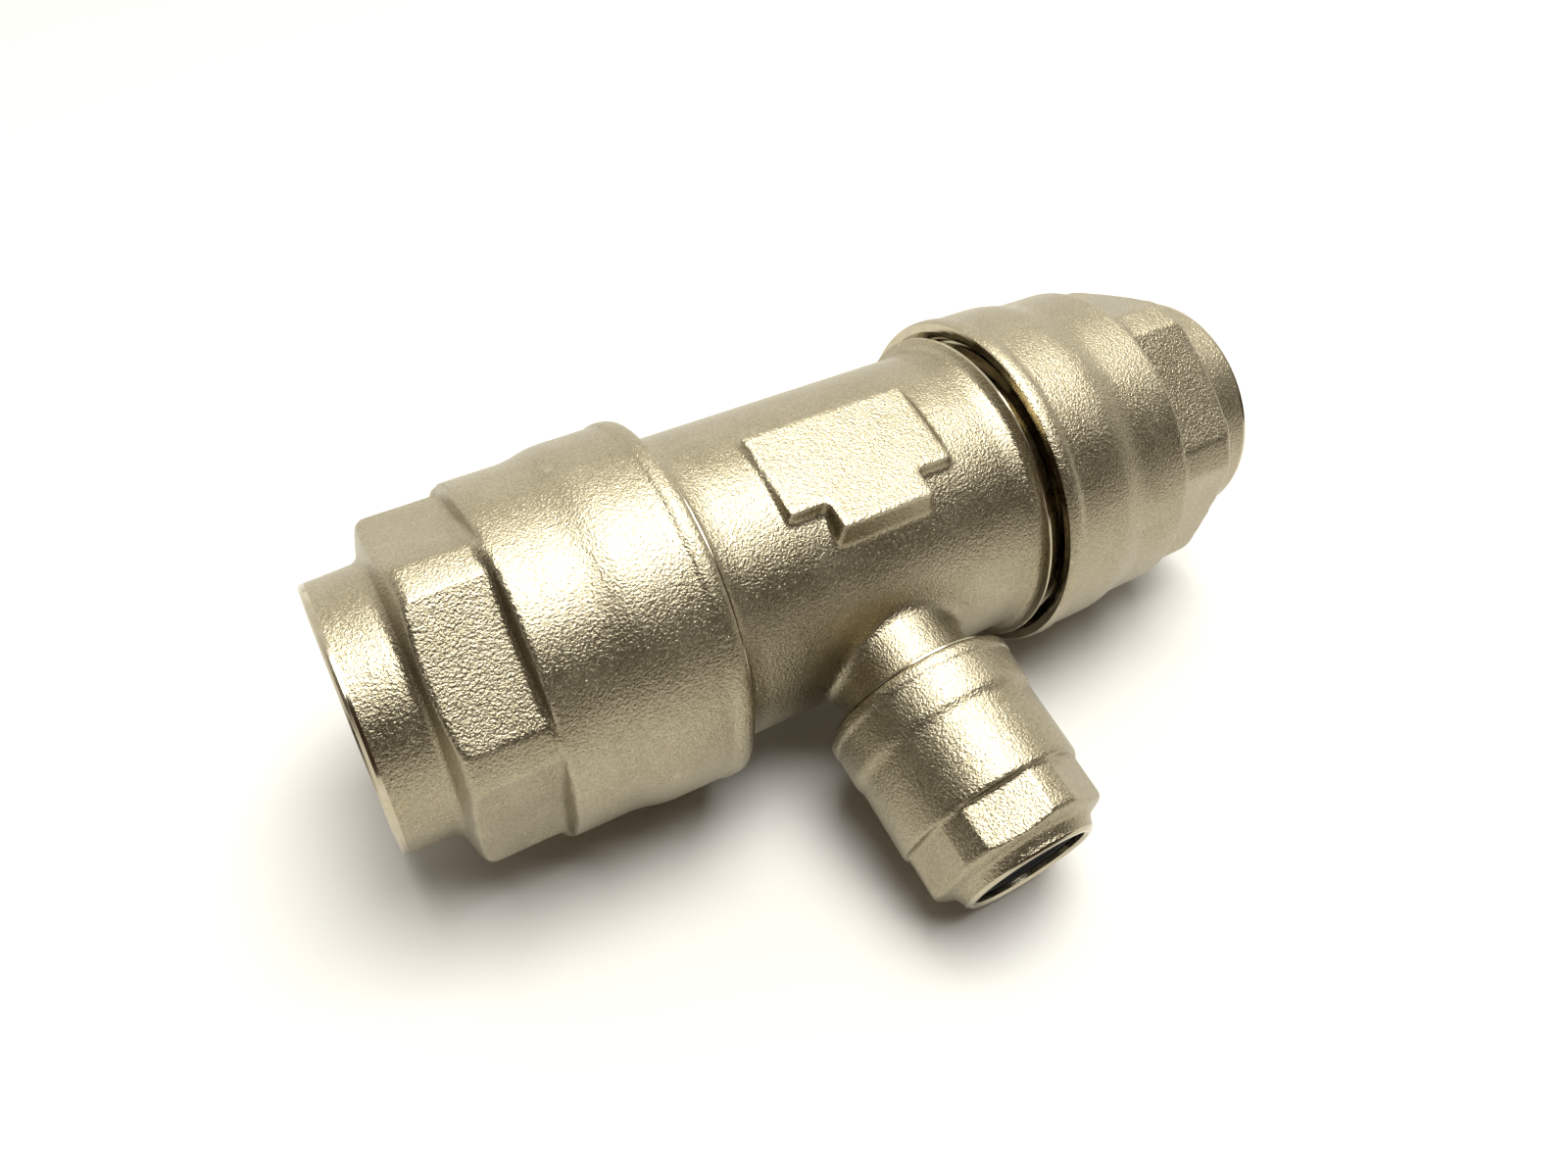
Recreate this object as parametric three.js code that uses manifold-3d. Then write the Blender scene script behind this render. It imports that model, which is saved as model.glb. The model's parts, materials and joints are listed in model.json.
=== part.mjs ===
// Push to connect reducing tee for rigid compressed-air tube.
// Two equal run ports and one smaller branch port, each closed by a screwed-on hexagon nut
// that holds a guide bush, a backing washer and a toothed grip ring.
// Millimetres, +Z up. The run lies along X and the branch points to -Y, dipping to the surface
// that the fitting lies on. The origin is the bottom centre of the bounding box.

import * as THREE from 'three';
import { mergeVertices } from 'three/addons/utils/BufferGeometryUtils.js';
import Module from 'manifold-3d';

const wasm = await Module();
wasm.setup();

// ---------------------------------------------------------------- driving dimensions

const GAP = 0.3;                    // clearance kept between neighbouring pieces
// Radial clearance left around the tube by each piece that it passes.
const PLAY = { rim: 0.5, bush: 0.2, washer: 0.7, teeth: 0.1, spacer: 0.35, seal: 0.3, socket: 0.35 };

const RUN = {
  tube: 40,                         // outer diameter of the tube that is pushed in
  flow: 19.0,                       // radius of the flow passage
  tubeStop: 46.0,                   // depth of the tube stop from the nut's rim
  rim: 86.3,                        // distance of the tightened nut's rim from the tee's centre
  nutLength: 55.0,
  neckRadius: 22.8,
  neckLength: 9.6,
  cornerRadius: 29.5,               // over the turned hexagon corners
  acrossFlats: 54.0,
  hexEnd: 24.4,                     // depth at which the hexagon meets the round skirt
  skirt: [31.1, 32.35, 32.95],      // radii of the skirt's three steps
  skirtStep: [26.4, 36.6, 41.0, 51.8],  // depths where the steps begin and end
  round: 2.0,                       // rounding of the nut's outer edges
  shoulder: 12.6,                   // depth of the face that backs the washer
  bushSeat: 21.75,
  lip: 1.8,                         // thickness of the rim lip that retains the bush
  cavity: 24.9,                     // radius of the cartridge cavity
  spigot: 27.0,                     // depth of the body's front face
  thread: 28.5,                     // radius over the body's thread
  pitch: 2.0,
  sealGroove: [32.6, 35.6, 26.7],   // outer seal groove: start, end, floor radius
  counterbore: 4.3,                 // depth of the tube seal's counterbore
  collar: 31.0,                     // radius of the turned collar that stops the nut
  collarWidth: 0.8,
  bodyRadius: 28.0,
  filletLength: 4.0,
  teeth: 18,                        // teeth on the grip ring
  sides: 40,
};

const BRANCH = {
  tube: 20,
  flow: 8.8,
  tubeStop: 26.0,
  rim: 70.3,
  nutLength: 34.3,
  neckRadius: 12.1,
  neckLength: 2.4,
  cornerRadius: 16.1,
  acrossFlats: 30.0,
  hexEnd: 11.3,
  skirt: [16.95, 17.4, 17.75],
  skirtStep: [13.6, 24.6, 26.6, 32.2],
  round: 1.3,
  shoulder: 5.6,
  bushSeat: 11.3,
  lip: 1.1,
  cavity: 13.2,
  spigot: 13.4,
  thread: 14.5,
  pitch: 1.5,
  sealGroove: [17.8, 20.0, 13.2],
  counterbore: 3.1,
  collar: 17.0,
  collarWidth: 0.7,
  bodyRadius: 12.7,
  filletLength: 1.6,
  teeth: 12,
  sides: 30,
};

const RIGHT_NUT_TURNS = 1;          // the right-hand nut stands this many turns unscrewed
// Angle of one hexagon corner about its port's axis, in degrees, seen in the port's own frame.
const HEX_ANGLE = { left: 34.2, right: 23.0, branch: 19.0 };
const DIP = 15.4;                   // degrees that the branch dips below the horizontal

// The raised T-shaped pad: heights above the run axis, half widths, and edges towards the branch.
const PAD = {
  top: 28.8,
  root: 18.0,
  barHalf: 15.8,
  stemHalf: 8.9,
  back: 7.8,
  front: -9.3,
  stemFront: -14.7,
};
// Shares of the space between a nut's shoulder and the body that the cartridge's pieces take.
const WASHER_SHARE = 0.13;
const GRIP_SHARE = 0.36;
// Grip ring: sheet against the ring's width, the others against the height of the teeth.
const GRIP = { sheet: 0.18, band: 0.35, slotWidth: 1.2, slotHeight: 0.75, slotCentre: 0.28 };
const BOSS_ROOT = 8;                // distance from the tee's centre at which the branch boss starts
const RING_SIDES = 30;
const SEAL_SIDES = 6;

const RAD = Math.PI / 180;

// ---------------------------------------------------------------- materials

const finish = {
  nickelForged: () => new THREE.MeshStandardMaterial({ color: 0xb9b09a, roughness: 0.42, metalness: 1.0 }),
  steel: () => new THREE.MeshStandardMaterial({ color: 0xc4c6c8, roughness: 0.3, metalness: 1.0 }),
  acetal: () => new THREE.MeshStandardMaterial({ color: 0x24262a, roughness: 0.5, metalness: 0.0 }),
  rubber: () => new THREE.MeshStandardMaterial({ color: 0x151515, roughness: 0.75, metalness: 0.0 }),
};

// ---------------------------------------------------------------- solids

function toManifold(geometry) {
  const bare = geometry.clone();
  bare.deleteAttribute('normal');
  bare.deleteAttribute('uv');
  const merged = mergeVertices(bare, 1e-4);
  return new wasm.Manifold(new wasm.Mesh({
    numProp: 3,
    vertProperties: new Float32Array(merged.attributes.position.array),
    triVerts: new Uint32Array(merged.index.array),
  }));
}

function toGeometry(solid) {
  const mesh = solid.getMesh();
  const geometry = new THREE.BufferGeometry();
  geometry.setAttribute('position', new THREE.BufferAttribute(mesh.vertProperties, 3));
  geometry.setIndex(new THREE.BufferAttribute(mesh.triVerts, 1));
  geometry.computeVertexNormals();
  return geometry;
}

// A solid turned about X. Outline points are [x, radius], the last one joined to the first.
function turned(outline, sides) {
  const points = [...outline, outline[0]].map(([x, radius]) => new THREE.Vector2(radius, x));
  const geometry = new THREE.LatheGeometry(points, sides);
  geometry.rotateZ(-Math.PI / 2);
  return signedArea(outline) > 0 ? flipped(geometry) : geometry;
}

function signedArea(outline) {
  return outline.reduce((sum, [x, r], i) => {
    const [nextX, nextR] = outline[(i + 1) % outline.length];
    return sum + x * nextR - nextX * r;
  }, 0) / 2;
}

function flipped(geometry) {
  const index = geometry.index.array;
  for (let i = 0; i < index.length; i += 3) {
    [index[i], index[i + 1]] = [index[i + 1], index[i]];
  }
  return geometry;
}

// Points of an arc on an outline, centre [x, radius], angles in degrees from +x towards +radius.
function arc([cx, cr], radius, from, to, steps) {
  return Array.from({ length: steps + 1 }, (_, i) => {
    const angle = (from + (to - from) * i / steps) * RAD;
    return [cx + radius * Math.cos(angle), cr + radius * Math.sin(angle)];
  });
}

// A prism along X with flats at the given distance from the axis.
function hexPrism(acrossFlats, fromX, toX) {
  const corner = acrossFlats / Math.sqrt(3);
  const shape = new THREE.Shape(Array.from({ length: 6 }, (_, i) =>
    new THREE.Vector2(corner * Math.cos(i * 60 * RAD), corner * Math.sin(i * 60 * RAD))));
  const geometry = new THREE.ExtrudeGeometry(shape, { depth: toX - fromX, bevelEnabled: false });
  geometry.rotateX(Math.PI / 2);
  geometry.rotateZ(Math.PI / 2);
  geometry.translate(fromX, 0, 0);
  return geometry;
}

// ---------------------------------------------------------------- nut

// x measured along the port from the tee's centre; depth is measured inwards from the rim.
function nutOutline(port) {
  const at = (depth) => port.rim - depth;
  const [first, second, third] = port.skirt;
  const [skirtStart, riseStart, riseEnd, beadStart] = port.skirtStep;
  const { round } = port;
  const chamfer = 0.4;
  const shoulderRise = 0.8;
  const neckFlare = 0.3;
  const edge = 0.35 * round;
  const thread = port.thread + GAP;
  const mouth = port.collar + 0.2;
  const frontPlay = 0.5;
  const bore = port.tube / 2 + PLAY.rim;
  return [
    [at(0), port.neckRadius - chamfer],
    [at(chamfer), port.neckRadius],
    [at(port.neckLength), port.neckRadius + neckFlare],
    ...arc([at(port.neckLength + shoulderRise + round), port.cornerRadius - round], round, 10, 90, 3),
    [at(port.hexEnd), port.cornerRadius],
    [at((port.hexEnd + skirtStart) / 2), (port.cornerRadius + first) / 2 + 0.1 * round],
    [at(skirtStart), first],
    [at(riseStart), first],
    [at((riseStart + riseEnd) / 2), (first + second) / 2],
    [at(riseEnd), second],
    [at(beadStart), second],
    [at(beadStart + chamfer), third],
    [at(port.nutLength - edge), third],
    [at(port.nutLength), third - edge],
    [at(port.nutLength), mouth],
    [at(port.nutLength - (mouth - thread)), thread],
    [at(port.spigot - frontPlay), thread],
    [at(port.spigot - frontPlay), port.cavity],
    [at(port.shoulder), port.cavity],
    [at(port.shoulder), port.bushSeat],
    [at(port.lip), port.bushSeat],
    [at(port.lip), bore],
    [at(0), bore],
  ];
}

function makeNut(port) {
  const body = toManifold(turned(nutOutline(port), port.sides));
  const start = port.rim - port.hexEnd;
  const reach = 2 * port.cornerRadius;
  const front = port.rim + 1;
  const block = toManifold(turned([[start, 0], [front, 0], [front, reach], [start, reach]], 6));
  const waste = block.subtract(toManifold(hexPrism(port.acrossFlats, start - 1, front + 1)));
  return toGeometry(body.subtract(waste));
}

// ---------------------------------------------------------------- cartridge pieces

function ring(fromX, toX, inner, outer) {
  return turned([[fromX, inner], [toX, inner], [toX, outer], [fromX, outer]], RING_SIDES);
}

function makeGuideBush(port) {
  const start = port.rim - port.shoulder + GAP;
  const end = port.rim - port.lip - GAP;
  const inner = port.tube / 2 + PLAY.bush;
  const outer = port.bushSeat - GAP;
  const lead = 0.4 * (outer - inner);
  const outline = [[start, inner], [end - lead, inner], [end, inner + lead], [end, outer], [start, outer]];
  return turned(outline, RING_SIDES);
}

// Where each cartridge piece starts and ends along the port, from the tee's centre.
function cartridge(port) {
  const space = port.spigot - port.shoulder;
  const washerEnd = port.rim - port.shoulder - GAP;
  const washerStart = washerEnd - WASHER_SHARE * space;
  const gripEnd = washerStart - GAP;
  const gripStart = gripEnd - GRIP_SHARE * space;
  const spacerEnd = gripStart - GAP;
  const spacerStart = port.rim - port.spigot + GAP;
  return { washerStart, washerEnd, gripStart, gripEnd, spacerStart, spacerEnd };
}

function makeBackingWasher(port) {
  const { washerStart, washerEnd } = cartridge(port);
  return ring(washerStart, washerEnd, port.tube / 2 + PLAY.washer, port.cavity - GAP);
}

// A flat band with a cone of teeth that lean inwards, away from the port's mouth.
function makeGripRing(port) {
  const { gripStart, gripEnd } = cartridge(port);
  const sheet = GRIP.sheet * (gripEnd - gripStart);
  const tip = port.tube / 2 + PLAY.teeth;
  const outer = port.cavity - GAP;
  const root = outer - GRIP.band * (outer - tip);
  const blank = toManifold(turned([
    [gripEnd, outer], [gripEnd - 2 * sheet, outer], [gripEnd - 2 * sheet, root],
    [gripStart, tip + sheet], [gripStart, tip], [gripEnd - sheet, root - sheet], [gripEnd, root - sheet],
  ], RING_SIDES));
  const slotWidth = GRIP.slotWidth * tip / port.teeth;
  const slotHeight = GRIP.slotHeight * (root - tip);
  let solid = blank;
  for (let i = 0; i < port.teeth; i += 1) {
    const slot = new THREE.BoxGeometry(2 * (gripEnd - gripStart), slotWidth, slotHeight);
    slot.translate(gripStart, 0, tip + GRIP.slotCentre * (root - tip));
    slot.rotateX((i + 0.5) * 2 * Math.PI / port.teeth);
    solid = solid.subtract(toManifold(slot));
  }
  return toGeometry(solid);
}

function makeSpacerRing(port) {
  const { spacerStart, spacerEnd } = cartridge(port);
  const inner = port.tube / 2 + PLAY.spacer;
  const outer = port.cavity - GAP;
  const coneStart = (spacerStart + spacerEnd) / 2;
  const coneEnd = outer - 0.3 * (outer - inner);
  return turned([
    [spacerStart, inner], [coneStart, inner], [spacerEnd, coneEnd], [spacerEnd, outer], [spacerStart, outer],
  ], RING_SIDES);
}

// An O-ring of round section about X.
function oRing(x, inner, outer) {
  const section = (outer - inner) / 2;
  return turned(arc([x, inner + section], section, 0, 360, SEAL_SIDES).slice(0, SEAL_SIDES), RING_SIDES);
}

function makeTubeSeal(port) {
  const inner = port.tube / 2 + PLAY.seal;
  const outer = port.cavity - 2 * GAP;
  return oRing(port.rim - port.spigot - GAP - (outer - inner) / 2, inner, outer);
}

function makeNutSeal(port) {
  const [start, end, floor] = port.sealGroove;
  return oRing(port.rim - (start + end) / 2, floor + GAP / 2, port.thread + 0.05);
}

// ---------------------------------------------------------------- tee body

// Outside of the body along one port, from the tee's centre to the spigot's front face.
function spigotOutline(port) {
  const at = (depth) => port.rim - depth;
  const collarOut = at(port.nutLength) - GAP;
  const collarIn = collarOut - port.collarWidth;
  const [grooveStart, grooveEnd, floor] = port.sealGroove;
  const filletRise = 0.22 * port.filletLength;
  return [
    [collarIn - port.filletLength, port.bodyRadius],
    [collarIn - 0.12 * port.filletLength, port.bodyRadius + filletRise],
    [collarIn, port.collar],
    [collarOut, port.collar],
    [collarOut, port.thread],
    [at(grooveEnd), port.thread],
    [at(grooveEnd), floor],
    [at(grooveStart), floor],
    [at(grooveStart), port.thread],
    [at(port.spigot), port.thread],
  ];
}

// Inside of the body along one port, from the counterbore's mouth to the flow passage.
function socketOutline(port) {
  const mouth = port.rim - port.spigot;
  const seal = mouth - port.counterbore;
  const stop = port.rim - port.tubeStop;
  const socket = port.tube / 2 + PLAY.socket;
  const seat = port.cavity - 0.1;
  return [
    [mouth + 1, seat],
    [seal, seat],
    [seal, socket],
    [stop, socket],
    [stop, port.flow],
  ];
}

const mirrored = (outline) => outline.map(([x, r]) => [-x, r]).reverse();
const toAxis = (outline) => [[outline[0][0], 0], ...outline, [outline.at(-1)[0], 0]];

function makePad() {
  const { barHalf, stemHalf, back, front, stemFront, top, root } = PAD;
  const shape = new THREE.Shape();
  shape.moveTo(-barHalf, back);
  shape.lineTo(-barHalf, front);
  shape.lineTo(-stemHalf, front);
  shape.lineTo(-stemHalf, stemFront);
  shape.lineTo(stemHalf, stemFront);
  shape.lineTo(stemHalf, front);
  shape.lineTo(barHalf, front);
  shape.lineTo(barHalf, back);
  shape.closePath();
  const geometry = new THREE.ExtrudeGeometry(shape, { depth: top - root, bevelEnabled: false });
  geometry.translate(0, 0, root);
  return geometry;
}

function makeTeeBody() {
  const runHalf = spigotOutline(RUN);
  const run = turned(toAxis([...mirrored(runHalf), ...runHalf]), RUN.sides);
  const branchOutline = [[BOSS_ROOT, BRANCH.bodyRadius], ...spigotOutline(BRANCH)];
  const branch = turned(toAxis(branchOutline), BRANCH.sides).rotateZ(-Math.PI / 2);
  const runSocket = socketOutline(RUN).reverse();
  const runBore = turned(toAxis([...mirrored(runSocket), ...runSocket]), RUN.sides);
  const branchBore = turned(toAxis([[0, BRANCH.flow], ...socketOutline(BRANCH).reverse()]), BRANCH.sides)
    .rotateZ(-Math.PI / 2);
  const solid = toManifold(run)
    .add(toManifold(branch))
    .add(toManifold(makePad()))
    .subtract(toManifold(runBore))
    .subtract(toManifold(branchBore));
  return toGeometry(solid);
}

// ---------------------------------------------------------------- assembly

function named(name, geometry, material) {
  const mesh = new THREE.Mesh(geometry, material);
  mesh.name = name;
  return mesh;
}

// One port's pieces, built along +X and turned about Z to face its own way.
function makePort(name, port, facing, hexAngle, turnsOut) {
  const group = new THREE.Group();
  group.rotation.z = facing;
  const carried = new THREE.Group();
  carried.position.x = turnsOut * port.pitch;
  const nut = named(`${name}_nut`, makeNut(port), finish.nickelForged());
  nut.rotation.x = hexAngle * RAD;
  carried.add(
    nut,
    named(`${name}_guide_bush`, makeGuideBush(port), finish.acetal()),
    named(`${name}_backing_washer`, makeBackingWasher(port), finish.steel()),
    named(`${name}_grip_ring`, makeGripRing(port), finish.steel()),
  );
  group.add(
    carried,
    named(`${name}_spacer_ring`, makeSpacerRing(port), finish.acetal()),
    named(`${name}_tube_seal`, makeTubeSeal(port), finish.rubber()),
    named(`${name}_nut_seal`, makeNutSeal(port), finish.rubber()),
  );
  return group;
}

const tee = new THREE.Group();
tee.rotation.x = DIP * RAD;
tee.add(
  named('tee_body', makeTeeBody(), finish.nickelForged()),
  makePort('left', RUN, Math.PI, HEX_ANGLE.left, 0),
  makePort('right', RUN, 0, HEX_ANGLE.right, RIGHT_NUT_TURNS),
  makePort('branch', BRANCH, -Math.PI / 2, HEX_ANGLE.branch, 0),
);

const group = new THREE.Group();
group.add(tee);
const box = new THREE.Box3().setFromObject(group, true);
tee.position.set(-(box.min.x + box.max.x) / 2, -(box.min.y + box.max.y) / 2, -box.min.z);

export default group;
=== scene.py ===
"""A push-to-connect reducing tee: the finished surfaces of its forged body, nuts and cartridge rings."""

import json
import math

import bpy
from bpy.props import FloatProperty, FloatVectorProperty, IntProperty, PointerProperty
from bpy.types import Operator, Panel, PropertyGroup
from mathutils import Matrix, Vector


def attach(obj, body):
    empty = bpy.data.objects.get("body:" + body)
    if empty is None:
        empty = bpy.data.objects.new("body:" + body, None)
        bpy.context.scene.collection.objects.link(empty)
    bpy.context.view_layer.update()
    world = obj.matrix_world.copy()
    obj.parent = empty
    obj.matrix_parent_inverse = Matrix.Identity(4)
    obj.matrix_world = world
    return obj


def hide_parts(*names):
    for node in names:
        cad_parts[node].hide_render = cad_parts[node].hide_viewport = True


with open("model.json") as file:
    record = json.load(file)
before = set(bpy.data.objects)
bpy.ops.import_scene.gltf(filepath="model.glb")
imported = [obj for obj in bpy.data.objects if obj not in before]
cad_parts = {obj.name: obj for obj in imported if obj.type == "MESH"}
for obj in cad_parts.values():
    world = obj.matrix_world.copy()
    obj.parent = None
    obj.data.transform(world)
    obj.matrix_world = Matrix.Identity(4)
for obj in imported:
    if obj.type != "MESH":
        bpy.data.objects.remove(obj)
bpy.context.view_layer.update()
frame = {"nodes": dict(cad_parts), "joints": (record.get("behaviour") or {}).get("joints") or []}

bl_info = {
    "name": "Reducing tee fitting",
    "version": (1, 0, 0),
    "blender": (4, 5, 0),
    "location": "3D View > Sidebar > Fitting",
    "description": "Models the forged body, the nuts and the cartridge rings of a reducing tee",
    "category": "Add Mesh",
}

MM = 0.001
MICRON = MM * MM
BIG = 45 * MM  # radius beyond everything on a run port
WIDE = 2.2 * BIG  # radius beyond the whole fitting
TAU = 2 * math.pi

THREAD_PLAY = 0.3 * MM  # between the crests of the male thread and the nut
BORE_PLAY = 0.5 * MM  # between the tube and the nut's lip
SOCKET_PLAY = 0.35 * MM  # between the tube and the body's socket
SEATING = 0.42 * MM  # from the end of a tight nut to the collar
SHARP_EDGE = math.radians(32)  # edges that turn more than this are shaded sharp

JOINTS = {joint["name"]: joint for joint in frame["joints"]}
CENTRE = Vector(JOINTS["left_nut_turn"]["pos_m"])  # where the run and the branch axes cross
BRANCH_AXIS = Vector(JOINTS["branch_nut_turn"]["axis"])
DIP = math.asin(-BRANCH_AXIS.z)  # how far the branch points below the horizontal
TEE_TO_WORLD = Matrix.Translation(CENTRE) @ Matrix.Rotation(DIP, 4, "X")

PORTS = ("left", "right", "branch")
FACING = {"left": math.pi, "right": 0.0, "branch": -math.pi / 2}


def port_matrix(port):
    """From a port's own frame, +X outwards along its axis, to the fitting's frame."""
    return TEE_TO_WORLD @ Matrix.Rotation(FACING[port], 4, "Z")


def measured(node, port):
    """Nearest and farthest place of a CAD node along a port, then its least and greatest radius."""
    inward = port_matrix(port).inverted()
    places = [inward @ vertex.co for vertex in frame["nodes"][node].data.vertices]
    along = [place.x for place in places]
    around = [math.hypot(place.y, place.z) for place in places]
    return min(along), max(along), min(around), max(around)


# ---------------------------------------------------------------- sizes and colours

# name: (description, run port, branch port), in millimetres
PORT_SIZES = {
    "tube": ("Outside diameter of the tube that is pushed in", 40.0, 20.0),
    "flow": ("Radius of the flow passage", 19.0, 8.8),
    "tube_stop": ("Depth of the tube stop below the nut's rim", 46.0, 26.0),
    "neck_radius": ("Outside radius of the neck at the rim", 22.75, 12.0),
    "neck_flare": ("How much wider the neck is at its root", 0.45, 0.9),
    "neck_length": ("Depth of the neck's root below the rim", 9.5, 2.5),
    "shoulder_rise": ("Depth of the slope from the neck to the hexagon", 1.9, 1.2),
    "corner_radius": ("Radius over the turned corners of the hexagon", 29.55, 16.1),
    "across_flats": ("Width across the flats of the hexagon", 54.0, 30.0),
    "hexagon_end": ("Depth at which the hexagon meets the skirt", 24.1, 11.3),
    "edge_round": ("Rounding of the hexagon's outer shoulder", 2.0, 1.1),
    "waist_start": ("Depth at which the slim part of the skirt starts", 26.2, 13.0),
    "waist_radius": ("Radius of the slim part of the skirt", 31.1, 16.85),
    "swell_start": ("Depth at which the skirt starts to widen", 34.4, 24.2),
    "swell_end": ("Depth at which the skirt has widened", 43.0, 27.0),
    "swell_radius": ("Radius of the widened skirt", 32.38, 17.45),
    "bead_start": ("Depth at which the end bead starts", 51.9, 32.2),
    "bead_radius": ("Radius of the end bead", 32.86, 17.70),
    "shoulder": ("Depth of the face that backs the washer", 12.6, 5.6),
    "bush_seat": ("Radius of the guide bush's seat", 21.75, 11.3),
    "lip": ("Thickness of the lip that retains the bush", 1.8, 1.1),
    "cavity": ("Radius of the cartridge cavity", 24.9, 13.2),
    "spigot": ("Depth of the body's front face", 27.0, 13.4),
    "thread": ("Radius over the body's thread", 28.5, 14.5),
    "pitch": ("Pitch of the thread", 2.0, 1.5),
    "thread_depth": ("Depth of the thread", 1.1, 0.8),
    "groove_start": ("Depth at which the outer seal groove starts", 32.6, 17.8),
    "groove_end": ("Depth at which the outer seal groove ends", 35.6, 20.0),
    "groove_floor": ("Radius of the outer seal groove's floor", 26.7, 13.2),
    "counterbore": ("Depth of the tube seal's counterbore", 4.3, 3.1),
    "collar": ("Radius of the turned collar that stops the nut", 30.4, 16.6),
    "collar_width": ("Width of the turned collar", 0.55, 0.5),
    "body_radius": ("Outside radius of the forged body", 28.0, 12.7),
    "fillet": ("Length of the fillet up to the collar", 3.6, 1.5),
    "fillet_rise": ("Height of the fillet up to the collar", 0.75, 0.5),
    "voxel": ("Size of the forged surface's facets", 0.5, 0.32),
}


def size_group(label, column):
    """A PropertyGroup of the port sizes, its defaults taken from one column of PORT_SIZES."""
    notes = {
        key: FloatProperty(name=key.replace("_", " ").capitalize(), description=row[0],
                           default=row[column] * MM, precision=5, unit="LENGTH")
        for key, row in PORT_SIZES.items()
    }
    return type(label, (PropertyGroup,), {"__annotations__": notes})


RunPortSizes = size_group("RunPortSizes", 1)
BranchPortSizes = size_group("BranchPortSizes", 2)


def length(name, description, millimetres):
    return FloatProperty(name=name, description=description, default=millimetres * MM,
                         precision=5, unit="LENGTH")


def angle(name, description, degrees):
    return FloatProperty(name=name, description=description, default=math.radians(degrees),
                         subtype="ANGLE")


def colour(name, description, value):
    return FloatVectorProperty(name=name, description=description, default=value,
                               subtype="COLOR", min=0.0, max=1.0)


class PadSizes(PropertyGroup):
    top: length("Top", "Height of the pad's face above the run axis", 28.75)
    root: length("Root", "Height at which the pad is rooted in the body", 20.0)
    bar_half: length("Bar half width", "Half the width of the bar at its top", 15.75)
    stem_half: length("Stem half width", "Half the width of the stem at its top", 8.85)
    back: length("Back", "Back edge of the bar", 7.8)
    front: length("Front", "Front edge of the bar", -9.3)
    stem_front: length("Stem front", "Front edge of the stem", -14.7)
    corner: length("Corner", "Rounding of the upright corners", 0.8)
    draft: length("Draft", "How much wider the pad is at its root, on each side", 0.9)


class FittingSettings(PropertyGroup):
    run: PointerProperty(type=RunPortSizes)
    branch: PointerProperty(type=BranchPortSizes)
    pad: PointerProperty(type=PadSizes)
    left_turn: angle("Left hexagon turn", "Angle of a hexagon corner on the left nut", 34.2)
    right_turn: angle("Right hexagon turn", "Angle of a hexagon corner on the right nut", 23.0)
    branch_turn: angle("Branch hexagon turn", "Angle of a hexagon corner on the branch nut", 19.0)
    sides: IntProperty(name="Sides", description="Facets round a turned surface", default=160)
    softening: IntProperty(name="Softening", description="Smoothing passes on a forging", default=4)
    nickel: colour("Nickel", "Shot-blasted nickel plate", (0.475, 0.422, 0.305))
    nickel_shade: colour("Nickel shade", "Duller patches of the plate", (0.30, 0.26, 0.168))
    bright: colour("Turned nickel", "Plate on the turned faces", (0.54, 0.49, 0.37))
    steel: colour("Steel", "Stamped stainless steel", (0.62, 0.61, 0.60))
    plastic: colour("Acetal", "Moulded bushes and spacers", (0.016, 0.013, 0.011))
    rubber: colour("Rubber", "Seals", (0.012, 0.012, 0.012))
    floor: colour("Floor", "Surface that the fitting lies on", (0.70, 0.69, 0.66))


def settings():
    return bpy.context.scene.fitting


def sizes_of(port):
    return settings().branch if port == "branch" else settings().run


# ---------------------------------------------------------------- modelling by hand

def alone(piece):
    """Makes a piece the only selected object, out of edit mode."""
    bpy.ops.object.select_all(action="DESELECT")
    piece.select_set(True)
    bpy.context.view_layer.objects.active = piece


def outlined(name, points):
    """A new object holding one closed line through the points."""
    bpy.ops.object.select_all(action="DESELECT")
    bpy.ops.mesh.primitive_plane_add(size=MM, enter_editmode=True)
    bpy.context.object.name = name
    bpy.ops.mesh.merge(type="CENTER")
    bpy.ops.transform.translate(value=points[0])
    for before, after in zip(points, points[1:] + points[:1]):
        step = Vector(after) - Vector(before)
        bpy.ops.mesh.extrude_vertices_move(TRANSFORM_OT_translate={"value": step})
    bpy.ops.mesh.select_all(action="SELECT")
    bpy.ops.mesh.remove_doubles(threshold=0.1 * MICRON)
    return bpy.context.object


def turned(name, outline, material):
    """A solid spun about X from a closed outline of (x, radius) points."""
    piece = outlined(name, [(x, 0.0, radius) for x, radius in outline])
    bpy.ops.mesh.spin(steps=settings().sides, angle=TAU, center=(0, 0, 0), axis=(1, 0, 0),
                      use_auto_merge=False)
    bpy.ops.mesh.select_all(action="SELECT")
    bpy.ops.mesh.remove_doubles(threshold=MICRON)
    bpy.ops.mesh.normals_make_consistent(inside=False)
    bpy.ops.object.mode_set(mode="OBJECT")
    piece.data.materials.append(material)
    return piece


def arc(centre, radius, first, last, steps):
    """Points of an arc on an outline, its angles in degrees from +x towards +radius."""
    turns = [math.radians(first + (last - first) * i / steps) for i in range(steps + 1)]
    return [(centre[0] + radius * math.cos(t), centre[1] + radius * math.sin(t)) for t in turns]


def with_modifier(piece, kind, **values):
    """Adds a modifier, sets it and applies it."""
    alone(piece)
    bpy.ops.object.modifier_add(type=kind)
    modifier = piece.modifiers[-1]
    for key, value in values.items():
        setattr(modifier, key, value)
    bpy.ops.object.modifier_apply(modifier=modifier.name)


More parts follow.
